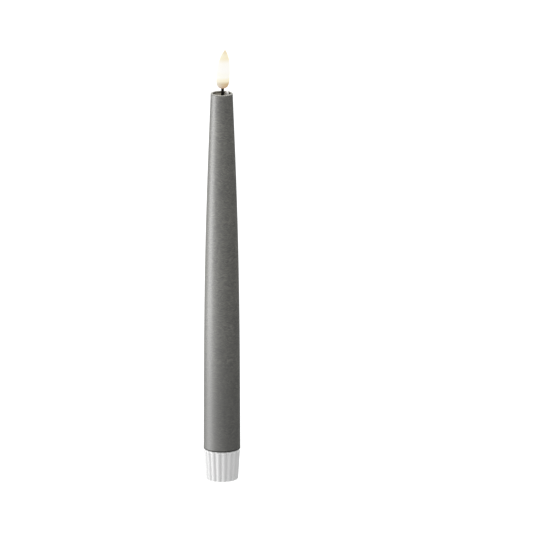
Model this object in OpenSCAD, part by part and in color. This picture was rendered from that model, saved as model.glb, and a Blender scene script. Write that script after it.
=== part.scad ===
// Flameless LED taper candle: a wax coated tube on a fluted foot that unscrews for two AAA cells.
// Origin: centre of the foot's underside. +Z runs up to the tip of the flame, and the front is -Y.

/* [Foot] */
// Height of the fluted foot
foot_h = 19.5; // [18:0.1:19.5]
// Radius over the ribs at the foot's top
foot_r_top = 11.3; // [11:0.1:11.4]
// Radius over the ribs at the foot's underside
foot_r_bottom = 10.2; // [10:0.1:10.6]
// Number of ribs round the foot
ribs = 18; // [12:1:20]
// Depth of the grooves between the ribs
groove_depth = 0.85; // [0.6:0.05:0.9]
// Turn of the first rib from the -Y direction
rib_phase = 8; // [0:1:19]
// Height of the sloping shoulder under the wax
shoulder_h = 1.2; // [0.5:0.1:1.2]
// How far the shoulder runs in
shoulder_in = 0.8; // [0.4:0.1:1]

/* [Wax] */
// Height of the wax body
wax_h = 230.7; // [220:0.1:240]
// Radius at the bottom edge
wax_r = 11.6; // [11.4:0.01:11.7]
// Loss of radius for each millimetre of height, all the way up
draft = 0.004; // [0.002:0.001:0.006]
// Height at which the taper begins
taper_start = 59; // [50:1:80]
// Height from which the taper is straight
taper_straight = 193; // [180:1:205]
// Slope of the straight taper
taper_slope = 0.0350; // [0.030:0.0001:0.036]
// Thickness of the wax coat
wax_t = 1.3; // [1:0.1:1.4]
// Depth of the well at the top
well_depth = 1.3; // [1:0.1:1.6]

/* [Flame] */
// Height of the flame-shaped diffuser
flame_h = 24.7; // [23:0.1:27]
// Greatest radius of the flame
flame_r = 4.15; // [3.8:0.05:4.4]
// Height of the widest place above the flame's lower end
flame_wide = 8.2; // [7:0.1:10]
// Sideways lean of the tip, towards +X
flame_lean = 1.6; // [0:0.05:2]
// Wall of the diffuser
flame_wall = 0.6; // [0.5:0.05:0.8]
// Bare stem between the rim and the flame
stem_h = 3.3; // [3:0.1:5]
// Radius of the stem
stem_r = 0.9; // [0.75:0.05:0.95]
// How far the stem stands off the candle's axis, towards +X
stem_x = 0.55; // [0:0.05:0.6]

/* [Thread and switch] */
// Rise of the foot's thread in one turn
lead = 6; // [5:0.5:6]
// Turns that free the foot
turns = 2; // [1.5:0.25:2]
// Travel of the switch slider
switch_travel = 4; // [3:0.5:4]

/* [Hidden] */
$fn = 48;

seam = 0.3;                          // gap between the foot and the wax
eps = 0.01;
glue_gap = 0.03;                     // round a piece that is bonded into another
wax_z = foot_h + seam;               // underside of the wax body
rim_z = wax_z + wax_h;               // top of the rim
floor_z = rim_z - well_depth;        // floor of the well at its edge

// Core tube
core_wall = 1.0;
core_wall_top = 0.75;
socket_r = 9.2;                      // bore that takes the foot's collar
socket_top = 38.5;
core_steps = 14;                     // straight lengths that follow the taper

// Collar, thread and battery pocket
collar_r = 8.3;
collar_bottom = 11.5;
collar_floor = 1.2;
collar_top = 36;
pocket_r = 5.6;
wire_hole_x = 2;                     // hole for the spring's wire
ring_wire_x = 6.95;                  // hole for the ring's wire, in the collar's wall
ridge_depth = 0.7;
thread_z = 21;                       // middle of the ridge at its lower end
lug_arc = 60;
thread_starts = 2;
segments_per_turn = 24;

// Batteries, size AAA
cell_r = 5.25;
cell_h = 44.5;
cell_nub_r = 1.9;
cell_nub_h = 0.9;
cell_z = 19;                         // lower end of the lower cell
cells_top = cell_z + 2 * cell_h;

// Sleeve round the batteries
sleeve_r_in = 5.55;
sleeve_r_out = 6.35;
sleeve_z = 37.2;
sleeve_top = cells_top + 2.4;
spacer_h = 3;
spacer_heights = [46, 98];
strip_x = -6.85;                     // outer face of the return strip
strip_t = 0.35;
strip_w = 2.2;

// Circuit board
board_z = 113.5;
board_h = 38;
board_w = 13;
board_t = 1.0;
guide_h = 2.5;
guide_heights = [board_z - 1, board_z + board_h - 1.5];

// Flame, stem and light
flame_z = rim_z + stem_h;
ferrule_r = stem_r + 0.25;
led_r = 1.5;
led_z = flame_z + 0.9;
led_h = 3.1;
ir_pos = [3.3, 1.4];
ir_r = 1.05;
ir_top = floor_z + 2.1;
lead_r = 0.22;

// Underside and switch
foot_wall_r = 8.6;                   // inner radius of the foot
plate_z = 0.3;
plate_t = 2.2;
pocket_depth = 1.2;                  // fingernail pocket round the slider
switch_x = -switch_travel / 2;       // rest position of the slider
switch_z = plate_z + plate_t + 0.1;
switch_size = [11, 5, 4.5];
switch_board_z = switch_z + switch_size[2];
screw_x = 0;
screw_y = 6.6;

// Radius of the wax at height h above its lower edge
function wax_radius(h) =
    let (t = max(taper_start, min(h, taper_straight)) - taper_start)
    wax_r - draft * h
    - taper_slope * (t * t / (2 * (taper_straight - taper_start)) + max(h - taper_straight, 0));

// Half outline of the taper from height a to b, set in by inset, as [radius, z] points
function taper_line(a, b, inset, steps) =
    [for (i = [0:steps]) let (h = a + (b - a) * i / steps) [wax_radius(h) - inset, wax_z + h]];

function reversed(list) = [for (i = [len(list) - 1:-1:0]) list[i]];

function unit(v) = v / norm(v);

// Smooth step from 0 to 1
function ease(t) = t * t * (3 - 2 * t);

// Closed solid through a list of rings that all have the same number of points
module skin(rings) {
    n = len(rings[0]);
    last = len(rings) - 1;
    points = [for (ring = rings) each ring];
    sides = [
        for (i = [0:last - 1]) for (j = [0:n - 1])
            let (k = (j + 1) % n)
            [i * n + j, (i + 1) * n + j, (i + 1) * n + k, i * n + k]
    ];
    first_cap = [for (j = [0:n - 1]) j];
    last_cap = [for (j = [n - 1:-1:0]) last * n + j];
    polyhedron(points, concat([first_cap], sides, [last_cap]), convexity = 6);
}

// Round wire of radius r along a list of points; up is any direction it never runs along
module wire(path, r, up = [0, 1, 0], sides = 8) {
    last = len(path) - 1;
    skin([
        for (i = [0:last])
            let (
                along = unit(path[min(i + 1, last)] - path[max(i - 1, 0)]),
                u = unit(cross(up, along)),
                v = cross(along, u)
            )
            [for (j = [0:sides - 1]) path[i] + r * (u * cos(360 * j / sides) + v * sin(360 * j / sides))]
    ]);
}

// Path that runs from a to b, leaving and arriving along Z
function rising_path(a, b, steps) = [
    for (i = [0:steps]) let (t = i / steps)
        [a[0] + (b[0] - a[0]) * ease(t), a[1] + (b[1] - a[1]) * ease(t), a[2] + (b[2] - a[2]) * t]
];

// Helical ridge between radius r_in and r_out, tapering away at both ends
module ridge(r_in, r_out, w_in, w_out, z0, from, to, fade) {
    count = round((to - from) * segments_per_turn / 360);
    skin([
        for (i = [0:count])
            let (
                a = from + (to - from) * i / count,
                grow = min(1, (a - from + 4) / fade, (to - a + 4) / fade),
                r = r_in + (r_out - r_in) * grow,
                w = w_in + (w_out - w_in) * grow,
                z = z0 + lead * a / 360
            )
            [for (p = [[r_in, z - w_in], [r_in, z + w_in], [r, z + w], [r, z - w]])
                [p[0] * cos(a), p[0] * sin(a), p[1]]]
    ]);
}

// Radius of the flame at height h above its lower end
function flame_radius(h) =
    h < flame_wide
    ? flame_r * pow(1 - pow(1 - h / flame_wide, 3.4), 1 / 3.4)
    : flame_r * pow(1 - pow((h - flame_wide) / (flame_h - flame_wide), 2.5), 0.9);

function flame_shift(h) = flame_lean * pow(h / flame_h, 1.3);

// Ring of the flame at height h, set in by inset
function flame_ring(h, inset) = [
    for (j = [0:31])
        let (r = max(flame_radius(h) - inset, 0.05))
        [stem_x + flame_shift(h) + r * cos(j * 11.25), r * sin(j * 11.25), flame_z + h]
];

function stem_ring(h) = [
    for (j = [0:31])
        let (r = stem_r + 0.03)
        [stem_x + r * cos(j * 11.25), r * sin(j * 11.25), flame_z + h]
];

module wax_shell() {
    edge = 0.6;
    lower_edge = 0.3;
    rim_r = wax_radius(wax_h);
    color("#7c7d77")
        rotate_extrude($fn = 96)
            polygon(concat(
                [[socket_r + core_wall, wax_z], [wax_r - lower_edge, wax_z]],
                taper_line(lower_edge, wax_h - edge, 0, core_steps),
                [
                    for (a = [20:35:90]) [rim_r - edge + edge * cos(a), rim_z - edge + edge * sin(a)],
                    [rim_r - wax_t + 0.3, rim_z],
                    [rim_r - wax_t, rim_z - 0.3],
                    [rim_r - wax_t, floor_z - 1.2]
                ],
                reversed(taper_line(socket_top - wax_z, wax_h - well_depth - 1.2, wax_t, core_steps)),
                [[socket_r + core_wall, socket_top - 1]]
            ));
}

module core_tube() {
    top_h = wax_h - well_depth - 1.2;
    inner = [
        for (p = taper_line(socket_top - wax_z, top_h, wax_t, core_steps))
            [p[0] - core_wall + (core_wall - core_wall_top) * (p[1] - socket_top) / top_h, p[1]]
    ];
    color("#d9d6cd") {
        rotate_extrude($fn = 96)
            polygon(concat(
                [[socket_r, wax_z], [socket_r + core_wall, wax_z], [socket_r + core_wall, socket_top - 1]],
                taper_line(socket_top - wax_z, top_h, wax_t, core_steps),
                reversed(inner),
                [[socket_r, socket_top - 1]]
            ));
        for (start = [0:thread_starts - 1])
            rotate([0, 0, start * 360 / thread_starts])
                thread_lug();
    }
}

// Short lug that stands in from the socket and runs between the collar's ridges
module thread_lug() {
    crest = socket_r - ridge_depth;
    mid = thread_z + lead / thread_starts / 2;
    count = 6;
    skin([
        for (i = [0:count])
            let (a = -lug_arc + lug_arc * i / count, z = mid + lead * a / 360)
            [for (p = [[socket_r + 0.3, z + 0.75], [socket_r + 0.3, z - 0.75], [crest, z - 0.3], [crest, z + 0.3]])
                [p[0] * cos(a), p[0] * sin(a), p[1]]]
    ]);
}

// Disc with a shallow dish, a skirt that plugs the core tube and a post round the stem
module well_floor() {
    r = wax_radius(wax_h) - wax_t;
    plug_r = wax_radius(wax_h - 6) - wax_t - core_wall - 0.1;
    post_r = stem_r + 1.2;
    dish = 0.35;
    dish_steps = 5;
    color("#8d8c86")
        difference() {
            union() {
                translate([0, 0, floor_z])
                    rotate_extrude()
                        polygon(concat(
                            [
                                [0, -1.4], [plug_r - 0.7, -1.4], [plug_r - 0.7, -4],
                                [plug_r, -4], [plug_r, -1.2], [r, -1.2]
                            ],
                            [
                                for (i = [dish_steps:-1:0])
                                    [r * i / dish_steps, -dish * (1 - pow(i / dish_steps, 2))]
                            ]
                        ));
                translate([stem_x, 0, floor_z - 4]) cylinder(h = 3, r = post_r);
            }
            translate([stem_x, 0, floor_z - 5]) cylinder(h = 6, r = ferrule_r + glue_gap);
            translate([ir_pos[0], ir_pos[1], floor_z - 5]) cylinder(h = 6, r = ir_r + 0.05);
        }
}

module wick_ferrule() {
    color("#2b2927")
        difference() {
            union() {
                translate([stem_x, 0, floor_z - 2.2]) cylinder(h = 2.6, r = ferrule_r);
                translate([stem_x, 0, floor_z + 0.4])
                    cylinder(h = 0.5, r1 = ferrule_r, r2 = ferrule_r - 0.15);
            }
            translate([stem_x, 0, floor_z - 3]) cylinder(h = 5, r = stem_r + 0.02);
        }
}

module wick_stem() {
    color("#33302d")
        difference() {
            translate([stem_x, 0, floor_z - 3])
                cylinder(h = led_z - 0.05 - floor_z + 3, r = stem_r);
            translate([stem_x, 0, floor_z - 4])
                cylinder(h = led_z - floor_z + 5, r = stem_r - 0.25);
        }
}

module flame_diffuser() {
    outer_h = [for (h = [0.3, 0.8, 1.6, 2.8, 4.4, 6.2]) h];
    upper_h = [for (i = [0:13]) flame_wide + (flame_h - flame_wide - 0.15) * pow(i / 13, 0.85)];
    heights = concat(outer_h, upper_h);
    inner_h = [for (h = heights) if (h > 0.7 && h < flame_h - 1.6) h];
    color("#fff1d0")
        skin(concat(
            [for (h = reversed(inner_h)) flame_ring(h, flame_wall)],
            [stem_ring(0.6), stem_ring(0)],
            [for (h = heights) flame_ring(h, 0)]
        ));
}

module flame_led() {
    color("#fff7e0") {
        translate([stem_x, 0, led_z]) cylinder(h = 0.6, r = led_r + 0.25);
        translate([stem_x, 0, led_z + 0.6]) cylinder(h = led_h - 0.6, r = led_r);
        translate([stem_x, 0, led_z + led_h]) intersection() {
            sphere(r = led_r);
            cylinder(h = led_r, r = led_r);
        }
    }
}

module led_leads() {
    top = led_z - 0.02;
    color("#b5482f")
        for (side = [-1, 1]) {
            bend = [stem_x + side * 0.27, 0, floor_z - 6];
            foot = [side * 2, -board_t / 2 - lead_r - 0.03, board_z + board_h - 4];
            wire(concat(rising_path(foot, bend, 22), [[bend[0], 0, top]]), lead_r);
        }
}

module ir_receiver() {
    color("#e9e6df")
        translate([ir_pos[0], ir_pos[1], 0]) {
            translate([0, 0, floor_z - 4]) cylinder(h = ir_top - ir_r - floor_z + 4, r = ir_r);
            translate([0, 0, ir_top - ir_r]) intersection() {
                sphere(r = ir_r);
                cylinder(h = ir_r, r = ir_r);
            }
        }
}

module ir_leads() {
    color("#c9b26b")
        for (side = [-1, 1]) {
            top = [ir_pos[0] + side * 0.4, ir_pos[1], floor_z - 4.02];
            foot = [4 + side * 0.8, board_t / 2 + lead_r + 0.03, board_z + board_h - 4];
            wire(rising_path(foot, top, 22), lead_r);
        }
}

module circuit_board() {
    color("#2f6b46")
        translate([-board_w / 2, -board_t / 2, board_z]) cube([board_w, board_t, board_h]);
}

module controller_chip() {
    body = [4, 1.5, 5];
    pin_pitch = 1.27;
    pins = 4;
    color("#222222")
        translate([0, -board_t / 2 - body[1], board_z + 17]) {
            translate([-body[0] / 2, 0, 0]) cube([body[0], body[1] - 0.1, body[2]]);
            for (side = [-1, 1]) for (i = [0:pins - 1])
                translate([side * (body[0] / 2 + 0.5) - 0.5 - eps, body[1] - 0.5, 0.4 + i * pin_pitch])
                    cube([1 + 2 * eps, 0.5, 0.4]);
        }
}

module board_capacitor() {
    color("#39404f")
        translate([0, board_t / 2 + 2.5, board_z + 8]) {
            cylinder(h = 7, r = 2.5);
            translate([0, 0, 7]) cylinder(h = 0.3, r = 2.1);
        }
}

module board_resistors() {
    color("#1d1d1f")
        for (i = [0:3])
            translate([-4.2 + i * 2.4, -board_t / 2 - 0.5, board_z + 27]) cube([1.25, 0.5, 2]);
}

// Two slotted discs inside the core tube
module board_guides() {
    color("#c9c6bc")
        for (z = guide_heights)
            difference() {
                translate([0, 0, z])
                    cylinder(h = guide_h, r = wax_radius(z + guide_h - wax_z) - wax_t - core_wall - 0.1);
                translate([-board_w / 2, -board_t / 2, board_z])
                    cube([board_w, board_t, board_h]);
                translate([0, 0, z - 1]) wire_window();
                translate([strip_x - 0.2, -strip_w / 2 - 0.2, z - 1]) cube([0.6, strip_w + 0.4, guide_h + 2]);
            }
}

// Window for the leads on both sides of the board, which leaves a grip on its edges
module wire_window() {
    translate([-5.4, -4.1, 0]) cube([10.8, 8.2, guide_h + 2]);
}

module battery_sleeve() {
    color("#e4e1d8")
        translate([0, 0, sleeve_z])
            difference() {
                cylinder(h = sleeve_top - sleeve_z, r = sleeve_r_out);
                translate([0, 0, -1]) cylinder(h = sleeve_top - sleeve_z + 2, r = sleeve_r_in);
            }
}

module sleeve_spacers() {
    color("#c9c6bc")
        for (z = spacer_heights)
            difference() {
                translate([0, 0, z])
                    cylinder(h = spacer_h, r = wax_radius(z + spacer_h - wax_z) - wax_t - core_wall - 0.1);
                translate([0, 0, z - 1]) cylinder(h = spacer_h + 2, r = sleeve_r_out + glue_gap);
                translate([strip_x - 0.2, -strip_w / 2 - 0.2, z - 1]) cube([1, strip_w + 0.4, spacer_h + 2]);
            }
}

module sleeve_cap() {
    color("#c9c6bc")
        difference() {
            translate([0, 0, cells_top + 0.4]) cylinder(h = 2, r = sleeve_r_in);
            contact_tab(0.1);
        }
}

// Tab that carries the positive contact up to the board
module contact_tab(clear) {
    translate([-1 - clear, board_t / 2 - clear, cells_top + 0.2])
        cube([2 + 2 * clear, 0.3 + 2 * clear, board_z + 3 - cells_top - 0.2]);
}

module top_contact() {
    color("#c8ccd0") {
        translate([0, 0, cells_top + 0.1]) cylinder(h = 0.3, r = 4.8);
        contact_tab(0);
    }
}

module return_strip() {
    finger_z = collar_top + 0.5;
    color("#c9a45c") {
        translate([strip_x, -strip_w / 2, finger_z]) cube([strip_t, strip_w, board_z + 3 - finger_z]);
        translate([strip_x - 1.1, -strip_w / 2, finger_z]) cube([1.4, strip_w, 0.35]);
    }
}

// AAA cell with its positive nub and a slightly smaller end face
module cell(z) {
    translate([0, 0, z])
        rotate_extrude()
            polygon([
                [0, 0], [cell_r - 0.5, 0], [cell_r, 0.4],
                [cell_r, cell_h - cell_nub_h - 0.5], [cell_r - 0.5, cell_h - cell_nub_h],
                [cell_nub_r, cell_h - cell_nub_h], [cell_nub_r, cell_h - 0.02], [0, cell_h - 0.02]
            ]);
}

module battery_upper() {
    color("#3c6e8f") cell(cell_z + cell_h);
}

module battery_lower() {
    color("#3c6e8f") cell(cell_z);
}

module foot_shell() {
    rib_r = 1.45;
    tilt = atan((foot_r_top - foot_r_bottom) / foot_h);
    color("#f2f2f0")
        difference() {
            intersection() {
                union() {
                    cylinder(h = foot_h, r1 = foot_r_bottom - groove_depth, r2 = foot_r_top - groove_depth, $fn = 96);
                    for (i = [0:ribs - 1])
                        rotate([0, 0, i * 360 / ribs + rib_phase - 90])
                            translate([foot_r_bottom - rib_r, 0, -1])
                                rotate([0, tilt, 0])
                                    cylinder(h = foot_h + 3, r = rib_r);
                }
                foot_envelope();
            }
            translate([0, 0, -1]) cylinder(h = collar_bottom + 1, r = foot_wall_r);
            translate([0, 0, collar_bottom - eps]) cylinder(h = foot_h, r = collar_r + glue_gap);
        }
}

// Cone that the ribs end in, with a shoulder at the top and a small chamfer at the underside
module foot_envelope() {
    under = 0.3;
    rotate_extrude($fn = 96)
        polygon([
            [0, 0], [foot_r_bottom - under, 0], [foot_r_bottom + 0.02, under],
            [foot_r_top, foot_h - shoulder_h], [foot_r_top - shoulder_in, foot_h], [0, foot_h]
        ]);
}

module threaded_collar() {
    crest = collar_r + ridge_depth;
    color("#e9e8e4") {
        difference() {
            translate([0, 0, collar_bottom]) cylinder(h = collar_top - collar_bottom, r = collar_r);
            translate([0, 0, collar_bottom + collar_floor]) cylinder(h = collar_top, r = pocket_r);
            translate([wire_hole_x, 0, collar_bottom - 1]) cylinder(h = 4, r = 0.6);
            translate([ring_wire_x, 0, collar_bottom - 1]) cylinder(h = collar_top, r = 0.5);
        }
        for (start = [0:thread_starts - 1])
            rotate([0, 0, start * 360 / thread_starts])
                ridge(collar_r - 0.3, crest, 0.9, 0.35, thread_z, 0, turns * 360, 30);
        for (side = [-1, 1])
            translate([screw_x, side * screw_y, plate_z + plate_t])
                screw_boss(collar_bottom - plate_z - plate_t + eps);
    }
}

// Post that takes a base screw
module screw_boss(h) {
    difference() {
        cylinder(h = h, r = 1.6);
        translate([0, 0, -1]) cylinder(h = 6, r = 0.75);
    }
}

module contact_spring() {
    bottom = collar_bottom + collar_floor + 0.35;
    height = cell_z - bottom - 0.4;
    coils = 5;
    steps = coils * 16;
    color("#b9bdc2")
        wire([
            for (i = [0:steps])
                let (t = i / steps, r = 4.4 - 1.6 * t, a = 360 * coils * t)
                [r * cos(a), r * sin(a), bottom + height * ease(t)]
        ], 0.3, up = [0, 0, 1]);
}

module ring_contact() {
    color("#c9a45c")
        translate([0, 0, collar_top])
            difference() {
                cylinder(h = 0.35, r = collar_r - 0.2);
                translate([0, 0, -1]) cylinder(h = 2, r = 5.9);
            }
}

// Wires from the switch board up through the collar to the spring and the ring
module foot_wires() {
    board_top = switch_board_z + 1;
    spring_foot = collar_bottom + collar_floor + 0.35;
    color("#b5482f") {
        wire([
            [wire_hole_x, 0, board_top], [wire_hole_x, 0, spring_foot - 1],
            [wire_hole_x + 0.3, 0, spring_foot - 0.25], [wire_hole_x + 1, 0, spring_foot],
            [4.1, 0, spring_foot]
        ], 0.3);
        wire(rising_path([6.2, 0, board_top], [ring_wire_x, 0, collar_bottom + 0.5], 6), 0.3);
        translate([ring_wire_x, 0, collar_bottom + 0.5]) cylinder(h = collar_top - collar_bottom - 0.5, r = 0.3);
    }
}

module switch_board() {
    color("#2f6b46")
        difference() {
            translate([0, 0, switch_board_z]) cylinder(h = 1, r = 7.9);
            for (side = [-1, 1])
                translate([screw_x, side * screw_y, switch_board_z - 1]) cylinder(h = 3, r = 1.7);
        }
}

module switch_body() {
    slot_w = switch_travel + 2.8;
    color("#b8bcc0")
        difference() {
            translate([-switch_size[0] / 2, -switch_size[1] / 2, switch_z]) cube(switch_size);
            translate([-slot_w / 2, -1.3, switch_z - 1]) cube([slot_w, 2.6, 2.6]);
        }
}

module switch_slider() {
    color("#2a2a2a")
        translate([switch_x, 0, 0])
            translate([-1.1, -1, plate_z + 0.3]) cube([2.2, 2, switch_z + 1.3 - plate_z - 0.3]);
}

module base_plate() {
    slot_w = switch_travel + 2.8;
    color("#eeeeec")
        difference() {
            translate([0, 0, plate_z]) cylinder(h = plate_t, r = foot_wall_r - 0.05);
            translate([-6, -2.6, plate_z - 1]) cube([12, 5.2, pocket_depth + 1]);
            translate([-slot_w / 2, -1.3, 0]) cube([slot_w, 2.6, 5]);
            position_marks();
            for (side = [-1, 1])
                translate([screw_x, side * screw_y, 0]) {
                    cylinder(h = 5, r = 0.85);
                    translate([0, 0, plate_z - 1]) cylinder(h = 2, r = 1.55);
                }
        }
}

// Engraved ticks beside the slot, one long and two short, for the slider's three positions
module position_marks() {
    for (i = [-1:1])
        translate([i * switch_travel / 2 - 0.2, 3.1, 0]) cube([0.4, i == 0 ? 0.9 : 0.6, plate_z + 0.2]);
}

module base_screws() {
    color("#9a9da0")
        for (side = [-1, 1])
            translate([screw_x, side * screw_y, plate_z + 0.1])
                difference() {
                    union() {
                        cylinder(h = 0.85, r = 1.4);
                        cylinder(h = 6, r = 0.72);
                    }
                    for (turn = [0, 90])
                        rotate([0, 0, turn]) translate([-0.8, -0.15, -1]) cube([1.6, 0.3, 1.4]);
                }
}

wax_shell();
core_tube();
well_floor();
wick_ferrule();
wick_stem();
flame_diffuser();
flame_led();
led_leads();
ir_receiver();
ir_leads();
circuit_board();
controller_chip();
board_capacitor();
board_resistors();
board_guides();
battery_sleeve();
sleeve_spacers();
sleeve_cap();
top_contact();
return_strip();
battery_upper();
battery_lower();
foot_shell();
threaded_collar();
contact_spring();
ring_contact();
foot_wires();
switch_board();
switch_body();
switch_slider();
base_plate();
base_screws();
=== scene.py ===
"""Flameless LED taper candle: its fine pieces, materials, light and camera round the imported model."""
import math

import bpy
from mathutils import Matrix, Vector, noise


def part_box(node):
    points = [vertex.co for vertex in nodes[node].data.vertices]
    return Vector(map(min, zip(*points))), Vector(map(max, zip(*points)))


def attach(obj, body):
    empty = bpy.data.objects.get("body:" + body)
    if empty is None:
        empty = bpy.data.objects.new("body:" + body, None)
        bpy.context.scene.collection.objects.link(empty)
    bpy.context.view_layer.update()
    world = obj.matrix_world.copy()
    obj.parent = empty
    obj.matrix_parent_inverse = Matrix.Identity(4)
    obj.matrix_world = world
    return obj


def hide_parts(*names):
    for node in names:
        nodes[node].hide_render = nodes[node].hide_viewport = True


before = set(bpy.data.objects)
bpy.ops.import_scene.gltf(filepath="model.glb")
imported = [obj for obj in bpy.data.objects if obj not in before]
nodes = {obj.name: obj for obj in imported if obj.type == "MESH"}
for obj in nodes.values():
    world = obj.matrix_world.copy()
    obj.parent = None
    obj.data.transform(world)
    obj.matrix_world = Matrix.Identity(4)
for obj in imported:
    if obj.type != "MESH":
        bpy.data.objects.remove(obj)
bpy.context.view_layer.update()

MM = 0.001


def bottom_of(node):
    """Lowest point of a CAD node, in millimetres."""
    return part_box(node)[0][2] / MM


def top_of(node):
    """Highest point of a CAD node, in millimetres."""
    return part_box(node)[1][2] / MM


# --- Sizes, in millimetres ---------------------------------------------------------------------

# Wax outline, by the same rule as the CAD model's
WAX_Z = bottom_of("wax_shell")
RIM_Z = top_of("wax_shell")
WAX_H = RIM_Z - WAX_Z
WAX_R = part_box("wax_shell")[1][0] / MM
DRAFT = 0.004
TAPER_START = 59
TAPER_STRAIGHT = 193
TAPER_SLOPE = 0.035
BOTTOM_ROUND = 0.3
RIM_ROUND = 0.4
SIDE_RINGS = 170
WAX_COLUMNS = 144

# Inside of the wax: the well at the top, the long hollow and the wide bore at the bottom
WAX_WALL = 1.3
LIP_ROUND = 0.3
WELL_DEPTH = 1.3
WELL_WALL = WELL_DEPTH + 0.9
HOLLOW_TOP = WELL_DEPTH + 1.2
HOLLOW_BOTTOM = 20
BORE_DEPTH = 17.5
BORE_R = 10.2

# Uneven dipped surface: its mean depth under the outline, then the height of the broad and the
# fine waves about that, their length up the candle and how fast they change round it
RELIEF_DEPTH = 0.045
BROAD_RELIEF = 0.032
BROAD_LENGTH = 45
BROAD_ROUND = 2.2
FINE_RELIEF = 0.014
FINE_LENGTH = 9
FINE_ROUND = 5
FINE_SHIFT = 7

# Heights over which the relief grows from the underside and fades towards the rim, and the
# share of it that is left there
RELIEF_GROWS = 2
RELIEF_FADES = 1.2
RIM_RELIEF = 0.25

# Parts of the wax with painted light and shade: the edge darkened by painted shade and the rougher part
# darkened by painted shade, above the underside; the rim's painted light, below its top; and the radius
# inside which painted light makes the well paler
SHADED_EDGE_H = 0.8
DULL_SHADE_LOW = 30
DULL_SHADE_HIGH = 100
RIM_LIGHT_LOW = 0.35
RIM_LIGHT_HIGH = 0.12
WELL_R_LOW = 6.2
WELL_R_HIGH = 6.7

# Fluted foot
FOOT_H = top_of("foot_shell")
FOOT_R_BOTTOM = 10.2
FOOT_R_TOP = 11.3
RIBS = 18
RIB_PHASE = 8
RIB_R = 1.45
RIB_BLEND = 0.07
GROOVE_DEPTH = 0.85
SHOULDER_H = 1.2
SHOULDER_IN = 0.8
SHOULDER_STEP = 0.05
FOOT_BORE = 8.33
FOOT_CAVITY = 8.6
FOOT_CHAMFER = 0.15
CAVITY_CHAMFER = 0.12
COLLAR_BOTTOM = 11.5
FOOT_LEDGE = 1.1

# Rounded lower edge of the foot: height, and how far the edge lies inside the rib tops
FOOT_EDGE = [(0.0, 0.34), (0.05, 0.2), (0.14, 0.08), (0.28, 0.01)]
RIBS_START = 0.45

# How far the foot comes down when it is unscrewed
FOOT_DROP = 12

# Flame and the stem under it; FLAME_H reaches the outline's point, and the flame ends under it
FLAME_Z = bottom_of("flame_diffuser")
FLAME_H = 24.7
FLAME_CUT = 0.17
FLAME_R = 4.15
FLAME_WIDE = 8.2
FLAME_LEAN = 1.6
FLAME_WALL = 0.6
FLAME_FLOOR = 0.8
FLAME_ROOF = 1.6
FLAME_HOLE = 0.93
FLAME_TIP_R = 0.04
FLAME_COLUMNS = 64
STEM_X = 0.55

# Powers that shape the flame: its round lower end, its sides above the widest place, its tip
# and how late it leans
END_POWER = 3.4
SIDE_POWER = 2.5
TIP_POWER = 0.9
LEAN_POWER = 1.3


# --- Mesh building -----------------------------------------------------------------------------


def mesh_piece(name, points, faces, body):
    """A smooth shaded piece from points in millimetres, riding on a body."""
    mesh = bpy.data.meshes.new(name)
    mesh.from_pydata([Vector(p) * MM for p in points], [], faces)
    mesh.validate()
    mesh.shade_smooth()
    piece = bpy.data.objects.new(name, mesh)
    bpy.context.scene.collection.objects.link(piece)
    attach(piece, body)
    return piece


def ring_faces(count, columns, wrap):
    """Quads between neighbouring rings; wrap also joins the last ring to the first."""
    faces = []
    for i in range(count if wrap else count - 1):
        k = (i + 1) % count
        for j in range(columns):
            m = (j + 1) % columns
            faces.append((i * columns + j, i * columns + m, k * columns + m, k * columns + j))
    return faces


def ring_solid(name, rings, body, wrap=True):
    """A closed solid through rings of points; without wrap its two ends are capped."""
    columns = len(rings[0])
    faces = ring_faces(len(rings), columns, wrap)
    if not wrap:
        last = (len(rings) - 1) * columns
        faces.append(tuple(reversed(range(columns))))
        faces.append(tuple(range(last, last + columns)))
    return mesh_piece(name, [p for ring in rings for p in ring], faces, body)


def circle(radius, z, columns, shift=0.0):
    """A ring of points; radius is a number or a function of the angle in radians."""
    ring = []
    for j in range(columns):
        a = 2 * math.pi * j / columns
        r = radius(a) if callable(radius) else radius
        ring.append((shift + r * math.cos(a), r * math.sin(a), z))
    return ring


def arc(radius, z, r, start, end, steps):
    """(radius, z) points on an arc of radius r round (radius, z), angles in degrees."""
    out = []
    for angle in spaced(start, end, steps):
        a = math.radians(angle)
        out.append((radius + r * math.cos(a), z + r * math.sin(a)))
    return out


def spaced(start, end, steps):
    """Numbers at equal steps from start to end, both included."""
    return [start + (end - start) * i / steps for i in range(steps + 1)]


# --- Wax body ----------------------------------------------------------------------------------


def wax_radius(h):
    """Radius of the wax at height h above its lower edge."""
    t = max(TAPER_START, min(h, TAPER_STRAIGHT)) - TAPER_START
    bend = t * t / (2 * (TAPER_STRAIGHT - TAPER_START)) + max(h - TAPER_STRAIGHT, 0)
    return WAX_R - DRAFT * h - TAPER_SLOPE * bend


def dip_relief(a, z):
    """How far the dipped surface lies under the smooth outline, from 0 to about 0.09 mm."""
    broad_x, broad_y = BROAD_ROUND * math.cos(a), BROAD_ROUND * math.sin(a)
    fine_x, fine_y = FINE_ROUND * math.cos(a) + FINE_SHIFT, FINE_ROUND * math.sin(a)
    broad = noise.noise(Vector((broad_x, broad_y, z / BROAD_LENGTH)))
    fine = noise.noise(Vector((fine_x, fine_y, z / FINE_LENGTH)))
    return RELIEF_DEPTH + BROAD_RELIEF * broad + FINE_RELIEF * fine


def wax_outside():
    """(radius, z) points from the underside up to the top of the rim."""
    rim_r = wax_radius(WAX_H)
    heights = [SHADED_EDGE_H] + spaced(SHADED_EDGE_H + 1, WAX_H - RIM_ROUND - 0.6, SIDE_RINGS)
    out = arc(WAX_R - BOTTOM_ROUND, WAX_Z + BOTTOM_ROUND, BOTTOM_ROUND, -90, 0, 6)
    out += [(wax_radius(h), WAX_Z + h) for h in heights]
    out += arc(rim_r - RIM_ROUND, RIM_Z - RIM_ROUND, RIM_ROUND, 5, 90, 6)
    return out


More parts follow.
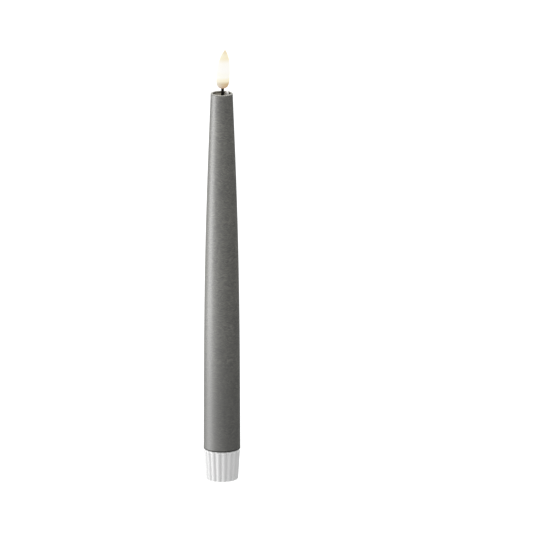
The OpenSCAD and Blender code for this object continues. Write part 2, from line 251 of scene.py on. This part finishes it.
def wax_inside():
    """(radius, z) points from the rim down the well, the hollow and the bore."""
    well_r = wax_radius(WAX_H) - WAX_WALL
    out = arc(well_r + LIP_ROUND, RIM_Z - LIP_ROUND, LIP_ROUND, 90, 180, 5)
    out += [(well_r, RIM_Z - depth) for depth in spaced(2 * LIP_ROUND, WELL_WALL, 4)]
    for h in spaced(WAX_H - HOLLOW_TOP, HOLLOW_BOTTOM, 40):
        out.append((wax_radius(h) - WAX_WALL, WAX_Z + h))
    out += [(BORE_R, WAX_Z + BORE_DEPTH), (BORE_R, WAX_Z)]
    return out


def build_wax():
    """Hollow wax body, uneven outside and smooth inside."""
    rings = []
    for r, z in wax_outside():
        fade = min(1.0, (z - WAX_Z) / RELIEF_GROWS, (RIM_Z - z) / RELIEF_FADES + RIM_RELIEF)
        rings.append(circle(lambda a: r - dip_relief(a, z) * max(fade, 0.0), z, WAX_COLUMNS))
    for r, z in wax_inside():
        rings.append(circle(r, z, WAX_COLUMNS))
    return ring_solid("wax_body", rings, "candle")


# --- Fluted foot -------------------------------------------------------------------------------


def rib_outline(rib_top):
    """Radius as a function of the angle, for round ribs whose tops reach rib_top."""
    pitch = 2 * math.pi / RIBS
    phase = math.radians(RIB_PHASE - 90)
    core = rib_top - GROOVE_DEPTH

    def radius(a):
        off = (a - phase + pitch / 2) % pitch - pitch / 2
        side = (rib_top - RIB_R) * math.sin(off)
        inside = RIB_R * RIB_R - side * side
        rib = (rib_top - RIB_R) * math.cos(off) + math.sqrt(inside) if inside > 0 else 0.0
        gap = max(-20.0, min(20.0, (rib - core) / RIB_BLEND))
        return core + RIB_BLEND * math.log1p(math.exp(gap))

    return radius


def build_foot():
    """Fluted cup with a smooth shoulder, bored for the collar and open underneath."""
    columns = RIBS * 20
    shoulder_z = FOOT_H - SHOULDER_H
    slope = (FOOT_R_TOP - FOOT_R_BOTTOM) / shoulder_z

    def fluted(z, cap):
        """A ring through the ribs at height z, cut off at radius cap."""
        outline = rib_outline(FOOT_R_BOTTOM + slope * z)
        return circle(lambda a: min(outline(a), cap), z, columns)

    rings = [fluted(z, FOOT_R_BOTTOM - inset) for z, inset in FOOT_EDGE]
    rings += [fluted(z, FOOT_R_TOP) for z in spaced(RIBS_START, shoulder_z - 0.12, 30)]
    for t in spaced(0, 1, 8):
        inset = SHOULDER_STEP + (SHOULDER_IN - SHOULDER_STEP) * t
        rings.append(fluted(shoulder_z + SHOULDER_H * t, FOOT_R_TOP - inset))
    rings.append([(x * 0.985, y * 0.985, FOOT_H) for x, y, z in rings[-1]])
    for r, z in [
        (FOOT_R_TOP - SHOULDER_IN - FOOT_LEDGE, FOOT_H),
        (FOOT_BORE + FOOT_CHAMFER, FOOT_H),
        (FOOT_BORE, FOOT_H - FOOT_CHAMFER),
        (FOOT_BORE, COLLAR_BOTTOM),
        (FOOT_CAVITY, COLLAR_BOTTOM),
        (FOOT_CAVITY, CAVITY_CHAMFER),
        (FOOT_CAVITY + CAVITY_CHAMFER, 0.0),
    ]:
        rings.append(circle(r, z, columns))
    return ring_solid("fluted_foot", rings, "foot")


# --- Flame -------------------------------------------------------------------------------------


def flame_radius(h):
    """Radius of the flame at height h above its lower end."""
    if h < FLAME_WIDE:
        return FLAME_R * (1 - (1 - h / FLAME_WIDE) ** END_POWER) ** (1 / END_POWER)
    v = min((h - FLAME_WIDE) / (FLAME_H - FLAME_WIDE), 1.0)
    return FLAME_R * (1 - v ** SIDE_POWER) ** TIP_POWER


def flame_ring(h, inset):
    """A ring at height h, moved aside by the stem's place and the flame's lean."""
    shift = STEM_X + FLAME_LEAN * (h / FLAME_H) ** LEAN_POWER
    return circle(max(flame_radius(h) - inset, FLAME_TIP_R), FLAME_Z + h, FLAME_COLUMNS, shift)


def build_flame():
    """Hollow flame; its rings crowd towards the lower end, where the outline turns fastest."""
    below = [FLAME_WIDE * t ** 1.65 for t in spaced(0, 1, 13)[1:-1]]
    rise = FLAME_H - FLAME_CUT - FLAME_WIDE
    above = [FLAME_WIDE + rise * t ** 0.9 for t in spaced(0, 1, 30)]
    heights = below + above
    hollow = [h for h in reversed(heights) if FLAME_FLOOR < h < FLAME_H - FLAME_ROOF]
    rings = [flame_ring(h, FLAME_WALL) for h in hollow]
    rings.append(circle(FLAME_HOLE, FLAME_Z + FLAME_WALL, FLAME_COLUMNS, STEM_X))
    rings.append(circle(FLAME_HOLE, FLAME_Z, FLAME_COLUMNS, STEM_X))
    rings += [flame_ring(h, 0) for h in heights]
    return ring_solid("flame_glow", rings, "candle", wrap=False)


# --- Node helpers ------------------------------------------------------------------------------


class Tree:
    """A short way to write a material's or the world's nodes."""

    def __init__(self, owner):
        owner.use_nodes = True
        self.tree = owner.node_tree
        self.tree.nodes.clear()

    def add(self, kind, props=None, **inputs):
        """A new node. An input goes by its name, with _ for a space, or by number as i0, i1 ..."""
        node = self.tree.nodes.new(kind)
        for key, value in (props or {}).items():
            setattr(node, key, value)
        for key, value in inputs.items():
            numbered = key[0] == "i" and key[1:].isdigit()
            place = int(key[1:]) if numbered else key.replace("_", " ")
            self.put(node.inputs[place], value)
        return node

    def put(self, socket, value):
        """Links a socket into this one, or sets a number or colour on it."""
        if isinstance(value, bpy.types.NodeSocket):
            self.tree.links.new(value, socket)
        elif socket.type == "RGBA":
            socket.default_value = (*value, 1.0)
        else:
            socket.default_value = value

    def object_place(self):
        return self.add("ShaderNodeTexCoord").outputs["Object"]

    def split(self, vector):
        return self.add("ShaderNodeSeparateXYZ", None, i0=vector).outputs

    def math(self, operation, a, b=0.0):
        return self.add("ShaderNodeMath", {"operation": operation}, i0=a, i1=b).outputs[0]

    def vector(self, operation, a, **inputs):
        return self.add("ShaderNodeVectorMath", {"operation": operation}, i0=a, **inputs).outputs[0]

    def noise(self, vector, scale, detail=3.0, rough=0.55, output=0):
        return self.add(
            "ShaderNodeTexNoise", None, Vector=vector, Scale=scale, Detail=detail, Roughness=rough
        ).outputs[output]

    def stretched(self, vector, scale):
        """The place scaled by its own number along X, Y and Z, so that a noise makes lines."""
        return self.add(
            "ShaderNodeMapping", {"vector_type": "POINT"}, Vector=vector, Scale=scale
        ).outputs[0]

    def ramp(self, factor, stops):
        """A colour that eases through (place, colour) stops."""
        node = self.add("ShaderNodeValToRGB", None, i0=factor)
        node.color_ramp.interpolation = "EASE"
        elements = node.color_ramp.elements
        while len(elements) < len(stops):
            elements.new(0.5)
        for element, (place, colour) in zip(elements, stops):
            element.position = place
            element.color = (*colour, 1.0)
        return node.outputs[0]

    def span(self, value, low, high, to_low, to_high):
        """The value's part of the way from low to high, as a number from to_low to to_high."""
        return self.add(
            "ShaderNodeMapRange", None, i0=value, i1=low, i2=high, i3=to_low, i4=to_high
        ).outputs[0]

    def bump(self, height, distance, strength=1.0):
        return self.add(
            "ShaderNodeBump", None, Height=height, Distance=distance, Strength=strength
        ).outputs[0]


def material(name):
    mat = bpy.data.materials.new(name)
    return mat, Tree(mat)


def surface(tree, **inputs):
    """A Principled surface with its sockets set by name, joined to the output."""
    shader = tree.add("ShaderNodeBsdfPrincipled", None, **inputs)
    tree.add("ShaderNodeOutputMaterial", None, Surface=shader.outputs[0])


def grey(level):
    """A colour, or a vector, with the same number three times."""
    return (level, level, level)


def mottled(name, colour, roughness, spread=0.12, scale=900, bump=0.00002, **extra):
    """A plastic or wax with fine uneven colour, roughness and surface."""
    mat, tree = material(name)
    place = tree.object_place()
    fine = tree.noise(place, scale, 4.0)
    broad = tree.noise(place, scale / 9, 2.0)
    mixed = tree.math("MULTIPLY", tree.math("ADD", fine, broad), 0.5)
    dark = tuple(c * (1 - spread) for c in colour)
    light = tuple(min(1.0, c * (1 + spread)) for c in colour)
    surface(
        tree,
        Base_Color=tree.ramp(mixed, [(0.3, dark), (0.7, light)]),
        Roughness=tree.span(fine, 0.3, 0.7, roughness - 0.06, roughness + 0.08),
        Normal=tree.bump(fine, bump),
        **extra,
    )
    return mat


def brushed(name, colour, roughness, axis_scale):
    """A metal with fine lines; axis_scale is the noise scale along X, Y and Z."""
    mat, tree = material(name)
    lines = tree.noise(tree.stretched(tree.object_place(), axis_scale), 1.0)
    dark = tuple(c * 0.82 for c in colour)
    surface(
        tree,
        Base_Color=tree.ramp(lines, [(0.3, dark), (0.7, colour)]),
        Roughness=tree.span(lines, 0.3, 0.7, roughness - 0.07, roughness + 0.1),
        Metallic=1.0,
        Normal=tree.bump(lines, 0.00001),
    )
    return mat


# --- Materials ---------------------------------------------------------------------------------

WHITE = (1.0, 1.0, 1.0)

WAX_DARK = (0.023, 0.0225, 0.018)
WAX_MIDDLE = (0.057, 0.056, 0.046)
WAX_LIGHT = (0.108, 0.106, 0.088)
# Painted light: paler colour added on the top of the rim.
RIM_PAINTED_LIGHT = (0.22, 0.22, 0.2)
# Painted shade: the dark colour of the wax's lowest edge.
WAX_SHADED_EDGE = (0.03, 0.03, 0.027)
WELL_WAX = (0.16, 0.15, 0.12)

# The foot's plastic by height, with a thin line of painted shade under a shoulder brightened by painted
# light, and a painted glow
RIB_WHITE = 0.50
SHADED_LINE_WHITE = 0.43
LIT_SHOULDER_WHITE = 0.66
FOOT_PAINTED_GLOW = 0.11

# Noise scales of the wax along X, Y and Z, and how far its streaks drift, in metres
STREAK_SCALE = (460, 460, 2900)
HAIR_SCALE = (900, 900, 3600)
STREAK_DRIFT = 0.011

SLEEVE_BLUE = (0.03, 0.05, 0.09)
SLEEVE_COPPER = (0.55, 0.33, 0.12)


def wax_material():
    """Grey wax: fine streaks in uneven arcs over soft mottling, paler in the well and on the rim by
    painted light, and darker towards the underside by painted shade.
    """
    mat, tree = material("grey_wax")
    place = tree.object_place()
    drift = tree.noise(place, 85, 2.0, output="Color")
    centred = tree.vector("SUBTRACT", drift, i1=grey(0.5))
    warped = tree.vector("ADD", place, i1=tree.vector("SCALE", centred, Scale=STREAK_DRIFT))
    streaks = tree.noise(tree.stretched(warped, STREAK_SCALE), 1.0, 2.0)
    hairs = tree.noise(tree.stretched(warped, HAIR_SCALE), 1.0, 1.0, 0.5)
    cloud = tree.noise(place, 70)
    lines = tree.math("ADD", tree.math("MULTIPLY", streaks, 0.65), tree.math("MULTIPLY", hairs, 0.25))
    tone = tree.math("ADD", lines, tree.math("MULTIPLY", cloud, 0.1))
    colour = tree.ramp(tone, [(0.40, WAX_DARK), (0.5, WAX_MIDDLE), (0.60, WAX_LIGHT)])

    x, y, height = tree.split(place)
    squares = tree.math("ADD", tree.math("MULTIPLY", x, x), tree.math("MULTIPLY", y, y))
    radius = tree.math("SQRT", squares)
    # Painted light: paler colour inside the well radius.
    well_painted_light = tree.span(radius, WELL_R_LOW * MM, WELL_R_HIGH * MM, 2.2, 1.0)
    # Painted light: a paler colour added on the top of the rim, where it faces up.
    rim = tree.span(height, (RIM_Z - RIM_LIGHT_LOW) * MM, (RIM_Z - RIM_LIGHT_HIGH) * MM, 0.0, 1.0)
    # Painted shade: darker colour over the lower part of the wax, towards the underside; that part is
    # also rougher.
    dull_and_shade = tree.span(height, (WAX_Z + DULL_SHADE_LOW) * MM, (WAX_Z + DULL_SHADE_HIGH) * MM, 1.0, 0.0)
    shade = tree.math("SUBTRACT", well_painted_light, tree.math("MULTIPLY", dull_and_shade, 0.4))
    rim_light = tree.vector("SCALE", RIM_PAINTED_LIGHT, Scale=rim)
    polish = tree.span(tone, 0.35, 0.65, 0.36, 0.46)
    surface(
        tree,
        Base_Color=tree.vector("MULTIPLY_ADD", colour, i1=shade, i2=rim_light),
        Roughness=tree.math("ADD", polish, tree.math("MULTIPLY", dull_and_shade, 0.1)),
        Normal=tree.bump(lines, 0.00006, 0.8),
        IOR=1.65,
        Specular_IOR_Level=1.0,
        Subsurface_Weight=0.05,
        Subsurface_Radius=(0.6, 0.6, 0.5),
        Subsurface_Scale=0.001,
    )
    return mat


def shaded_edge_material():
    """The wax's lowest edge, darkened by painted shade along the underside."""
    return mottled("wax_shaded_edge", WAX_SHADED_EDGE, 0.55, spread=0.2, Specular_IOR_Level=0.2)


def foot_material():
    """White plastic with a painted glow: a thin line of painted shade under a shoulder brightened by
    painted light.
    """
    mat, tree = material("white_plastic")
    place = tree.object_place()
    grain = tree.noise(place, 1500, 4.0)
    shoulder = (FOOT_H - SHOULDER_H) * MM
    level = tree.span(tree.split(place)[2], shoulder - 0.5 * MM, shoulder + 0.5 * MM, 0.0, 1.0)
    # Painted shade on a thin line just under the shoulder, and painted light that makes the shoulder
    # paler than the ribs.
    tone = tree.ramp(level, [
        (0.05, grey(RIB_WHITE)), (0.3, grey(SHADED_LINE_WHITE)), (0.5, grey(LIT_SHOULDER_WHITE)),
    ])
    surface(
        tree,
        Base_Color=tree.math("ADD", tone, tree.span(grain, 0.0, 1.0, -0.02, 0.02)),
        Roughness=tree.span(grain, 0.3, 0.7, 0.4, 0.52),
        Normal=tree.bump(grain, 0.000006),
        Specular_IOR_Level=0.2,
        # Painted light: the foot glows a little, though it is no lamp.
        Emission_Color=WHITE,
        Emission_Strength=FOOT_PAINTED_GLOW,
    )
    return mat


def flame_material():
    """Milky diffuser: bright above the light source, unlit below it and warmer towards the tip."""
    mat, tree = material("flame_diffuser")
    place = tree.object_place()
    uneven = tree.noise(place, 160, 2.0)
    wave = tree.math("MULTIPLY", tree.math("SUBTRACT", uneven, 0.5), 1.2 * MM)
    height = tree.math("ADD", tree.split(place)[2], wave)
    level = tree.span(height, FLAME_Z * MM, (FLAME_Z + FLAME_H) * MM, 0.0, 1.0)
    glow = tree.ramp(level, [
        (0.0, (0.40, 0.17, 0.01)),
        (0.12, (0.48, 0.26, 0.01)),
        (0.215, (0.89, 0.79, 0.53)),
        (0.32, (0.94, 0.915, 0.82)),
        (0.48, (0.95, 0.935, 0.89)),
        (0.64, (0.95, 0.93, 0.86)),
        (0.82, (0.86, 0.73, 0.46)),
        (1.0, (0.72, 0.46, 0.13)),
    ])
    milk = tree.ramp(level, [
        (0.12, (0.19, 0.29, 0.37)),
        (0.215, (0.05, 0.08, 0.14)),
        (0.4, (0.03, 0.03, 0.03)),
        (0.64, (0.03, 0.03, 0.04)),
        (1.0, (0.09, 0.19, 0.28)),
    ])
    surface(
        tree,
        Base_Color=milk,
        Roughness=tree.span(uneven, 0.3, 0.7, 0.42, 0.5),
        Normal=tree.bump(uneven, 0.00002),
        Specular_IOR_Level=0.05,
        Emission_Color=glow,
        Emission_Strength=1.0,
    )
    return mat


def battery_material(node):
    """Printed sleeve: a dark body, a copper band near the positive end and bare metal ends."""
    low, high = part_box(node)
    mat, tree = material("battery_sleeve_" + node)
    place = tree.object_place()
    level = tree.span(tree.split(place)[2], low[2], high[2], 0.0, 1.0)
    scuff = tree.noise(place, 700, 4.0)
    colour = tree.ramp(level, [
        (0.0, (0.62, 0.62, 0.6)), (0.03, SLEEVE_BLUE), (0.72, SLEEVE_BLUE),
        (0.74, SLEEVE_COPPER), (0.955, SLEEVE_COPPER), (0.975, (0.65, 0.65, 0.63)),
    ])
    surface(
        tree,
        Base_Color=colour,
        Metallic=tree.span(level, 0.72, 0.74, 0.2, 0.9),
        Roughness=tree.span(scuff, 0.3, 0.7, 0.25, 0.4),
        Normal=tree.bump(scuff, 0.00001),
    )
    return mat


def board_material():
    """Solder mask with faint tracks under it."""
    mat, tree = material("board_green")
    place = tree.object_place()
    tracks = tree.add(
        "ShaderNodeTexVoronoi", {"feature": "DISTANCE_TO_EDGE", "distance": "EUCLIDEAN"},
        Vector=place, Scale=420,
    ).outputs[0]
    grain = tree.noise(place, 2400, 2.0)
    surface(
        tree,
        Base_Color=tree.ramp(tracks, [(0.04, (0.03, 0.17, 0.07)), (0.09, (0.015, 0.1, 0.04))]),
        Roughness=tree.span(grain, 0.3, 0.7, 0.25, 0.4),
        Normal=tree.bump(tracks, 0.00003),
    )
    return mat


def lens_material():
    """Slightly hazy dome of the remote-control receiver."""
    mat, tree = material("clear_dome")
    haze = tree.noise(tree.object_place(), 900, 2.0)
    surface(
        tree,
        Base_Color=tree.ramp(haze, [(0.3, (0.88, 0.88, 0.86)), (0.7, (0.96, 0.96, 0.95))]),
        Roughness=tree.span(haze, 0.3, 0.7, 0.08, 0.16),
        Transmission_Weight=0.12,
        IOR=1.5,
        Coat_Weight=0.6,
    )
    return mat


def assign(piece, *materials):
    piece.data.materials.clear()
    for mat in materials:
        piece.data.materials.append(mat)


def finish_cad_nodes(foot_plastic):
    """A procedural material for every CAD node that stays, and smooth shading on its curves."""
    black = mottled("wick_black", (0.008, 0.007, 0.006), 0.55, spread=0.3, Specular_IOR_Level=0.08)
    ivory = mottled("tube_plastic", (0.66, 0.63, 0.56), 0.5)
    inner = mottled("inner_plastic", (0.55, 0.53, 0.48), 0.5)
    red = mottled("wire_insulation", (0.5, 0.06, 0.03), 0.35)
    epoxy = mottled("chip_epoxy", (0.015, 0.015, 0.016), 0.55, spread=0.25)
    nickel = brushed("nickel_wire", (0.62, 0.61, 0.58), 0.22, (900, 900, 900))
    brass = brushed("spring_brass", (0.68, 0.48, 0.2), 0.28, (400, 400, 1800))
    green = board_material()
    looks = {
        "core_tube": ivory,
        "well_floor": mottled("well_wax", WELL_WAX, 0.4, spread=0.15, scale=500),
        "wick_ferrule": black,
        "wick_stem": black,
        "flame_led": mottled("led_epoxy", (0.9, 0.8, 0.5), 0.15, spread=0.05),
        "led_leads": red,
        "ir_receiver": lens_material(),
        "ir_leads": brushed("tinned_wire", (0.6, 0.58, 0.55), 0.3, (900, 900, 900)),
        "circuit_board": green,
        "controller_chip": epoxy,
        "board_capacitor": mottled("capacitor_sleeve", (0.04, 0.05, 0.1), 0.3, spread=0.2),
        "board_resistors": epoxy,
        "board_guides": inner,
        "battery_sleeve": ivory,
        "sleeve_spacers": inner,
        "sleeve_cap": inner,
        "top_contact": nickel,
        "return_strip": brass,
        "battery_upper": battery_material("battery_upper"),
        "battery_lower": battery_material("battery_lower"),
        "threaded_collar": mottled(
            "collar_plastic", (0.78, 0.77, 0.75), 0.4, spread=0.03, bump=0.000008
        ),
        "contact_spring": nickel,
        "ring_contact": brass,
        "foot_wires": red,
        "switch_board": green,
        "switch_body": brushed("tin_plate", (0.6, 0.6, 0.6), 0.3, (1800, 300, 300)),
        "switch_slider": mottled("slider_black", (0.02, 0.02, 0.02), 0.45, spread=0.2),
        "base_plate": foot_plastic,
        "base_screws": brushed("zinc_screw", (0.55, 0.56, 0.58), 0.3, (1200, 1200, 1200)),
    }
    for name, mat in looks.items():
        assign(nodes[name], mat)
        nodes[name].data.shade_smooth()
        nodes[name].data.set_sharp_from_angle(angle=math.radians(32))


# --- Stage, light and camera: metres, degrees and brightness ------------------------------------

FLOOR_HALF = 3.0

# World: an even sky that leans to one side, a cap overhead and a glow below the horizon
SKY_LIGHT = 0.68
SKY_LEAN = 0.3
SKY_FADE = (-0.2, 0.04)
TOP_LIGHT = 1.6
TOP_FADE = (0.55, 0.85)
GLOW = 2.6
GLOW_WIDTH = 52
GLOW_FROM = (-0.974, -0.225)

SOFTBOX_PLACE = (-1.0, -0.05, -0.08)
SOFTBOX_AIM = (0.0, 0.0, -0.08)
SOFTBOX_SIZE = 0.7
SOFTBOX_POWER = 4.7

CAMERA_ELEVATION = 14.6
CAMERA_DISTANCE = 9.0
CAMERA_AIM = (0.0281, 0.0, 0.13808)
CAMERA_SENSOR = 36.0
VIEW_WIDTH = 0.3355


def build_floor():
    """A pale floor that light passes through, just below the reach of the unscrewed foot."""
    size = FLOOR_HALF
    z = -(FOOT_DROP + 0.5) * MM
    mesh = bpy.data.meshes.new("floor")
    mesh.from_pydata(
        [(-size, -size, z), (size, -size, z), (size, size, z), (-size, size, z)], [], [(0, 1, 2, 3)]
    )
    floor = bpy.data.objects.new("floor", mesh)
    bpy.context.scene.collection.objects.link(floor)
    mat, tree = material("pale_floor")
    top = tree.add(
        "ShaderNodeBsdfPrincipled", None, Base_Color=grey(0.15), Roughness=0.9,
        Specular_IOR_Level=0.0, Emission_Color=WHITE, Emission_Strength=1.0,
    ).outputs[0]
    clear = tree.add("ShaderNodeBsdfTransparent").outputs[0]
    from_below = tree.add("ShaderNodeNewGeometry").outputs["Backfacing"]
    mixed = tree.add("ShaderNodeMixShader", None, i0=from_below, i1=top, i2=clear).outputs[0]
    tree.add("ShaderNodeOutputMaterial", None, Surface=mixed)
    assign(floor, mat)
    floor.visible_diffuse = False
    floor.visible_glossy = False
    floor.visible_transmission = False
    floor.visible_shadow = False


def build_world():
    """White to the camera. The object feels the sky and, from below the horizon, a glow at its left."""
    world = bpy.data.worlds.new("studio")
    bpy.context.scene.world = world
    tree = Tree(world)
    x, y, z = tree.split(tree.add("ShaderNodeTexCoord").outputs["Generated"])
    across = tree.math("SQRT", tree.math("SUBTRACT", 1.0001, tree.math("MULTIPLY", z, z)))
    along_x = tree.math("MULTIPLY", x, GLOW_FROM[0])
    along_y = tree.math("MULTIPLY", y, GLOW_FROM[1])
    toward = tree.math("DIVIDE", tree.math("ADD", along_x, along_y), across)
    aside = tree.math("DIVIDE", tree.math("ARCCOSINE", toward), math.radians(GLOW_WIDTH))
    glow = tree.math("DIVIDE", GLOW, tree.math("ADD", tree.math("POWER", aside, 2.0), 1.0))
    sky = tree.span(toward, -1.0, 1.0, SKY_LIGHT * (1 + SKY_LEAN), SKY_LIGHT * (1 - SKY_LEAN))
    above = tree.span(z, *SKY_FADE, 0.0, 1.0)
    below = tree.math("SUBTRACT", 1.0, above)
    sides = tree.math("ADD", tree.math("MULTIPLY", sky, above), tree.math("MULTIPLY", glow, below))
    level = tree.math("ADD", sides, tree.span(z, *TOP_FADE, 0.0, TOP_LIGHT))
    camera_ray = tree.add("ShaderNodeLightPath").outputs["Is Camera Ray"]
    seen = tree.add("ShaderNodeBackground", None, Color=WHITE, Strength=1.0).outputs[0]
    felt = tree.add("ShaderNodeBackground", None, Color=WHITE, Strength=level).outputs[0]
    mixed = tree.add("ShaderNodeMixShader", None, i0=camera_ray, i1=felt, i2=seen).outputs[0]
    tree.add("ShaderNodeOutputWorld", None, Surface=mixed)


def build_softbox():
    """A square area light low at the left."""
    light = bpy.data.lights.new("softbox", "AREA")
    light.size = SOFTBOX_SIZE
    light.energy = SOFTBOX_POWER
    lamp = bpy.data.objects.new("softbox", light)
    lamp.location = SOFTBOX_PLACE
    lamp.rotation_mode = "QUATERNION"
    facing = Vector(SOFTBOX_AIM) - Vector(SOFTBOX_PLACE)
    lamp.rotation_quaternion = facing.to_track_quat("-Z", "Y")
    bpy.context.scene.collection.objects.link(lamp)


def build_camera():
    """Long lens, looking slightly down; the candle stands left of the picture's middle."""
    elevation = math.radians(CAMERA_ELEVATION)
    back = Vector((0.0, -math.cos(elevation), math.sin(elevation)))
    camera = bpy.data.objects.new("camera", bpy.data.cameras.new("camera"))
    camera.location = Vector(CAMERA_AIM) + back * CAMERA_DISTANCE
    camera.rotation_mode = "QUATERNION"
    camera.rotation_quaternion = (-back).to_track_quat("-Z", "Y")
    camera.data.sensor_width = CAMERA_SENSOR
    camera.data.lens = CAMERA_SENSOR * CAMERA_DISTANCE / VIEW_WIDTH
    camera.data.clip_end = 20.0
    bpy.context.scene.collection.objects.link(camera)
    bpy.context.scene.camera = camera


# --- The candle --------------------------------------------------------------------------------

wax = build_wax()
assign(wax, wax_material(), shaded_edge_material())
# Faces below the edge height take the painted shade material of the lowest edge.
for face in wax.data.polygons:
    if face.center.z < (WAX_Z + SHADED_EDGE_H) * MM:
        face.material_index = 1
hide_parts("wax_shell")

white_plastic = foot_material()
foot = build_foot()
assign(foot, white_plastic)
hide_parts("foot_shell")

flame = build_flame()
assign(flame, flame_material())
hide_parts("flame_diffuser")

finish_cad_nodes(white_plastic)

build_floor()
build_world()
build_softbox()
build_camera()
bpy.context.scene.view_settings.view_transform = "Standard"
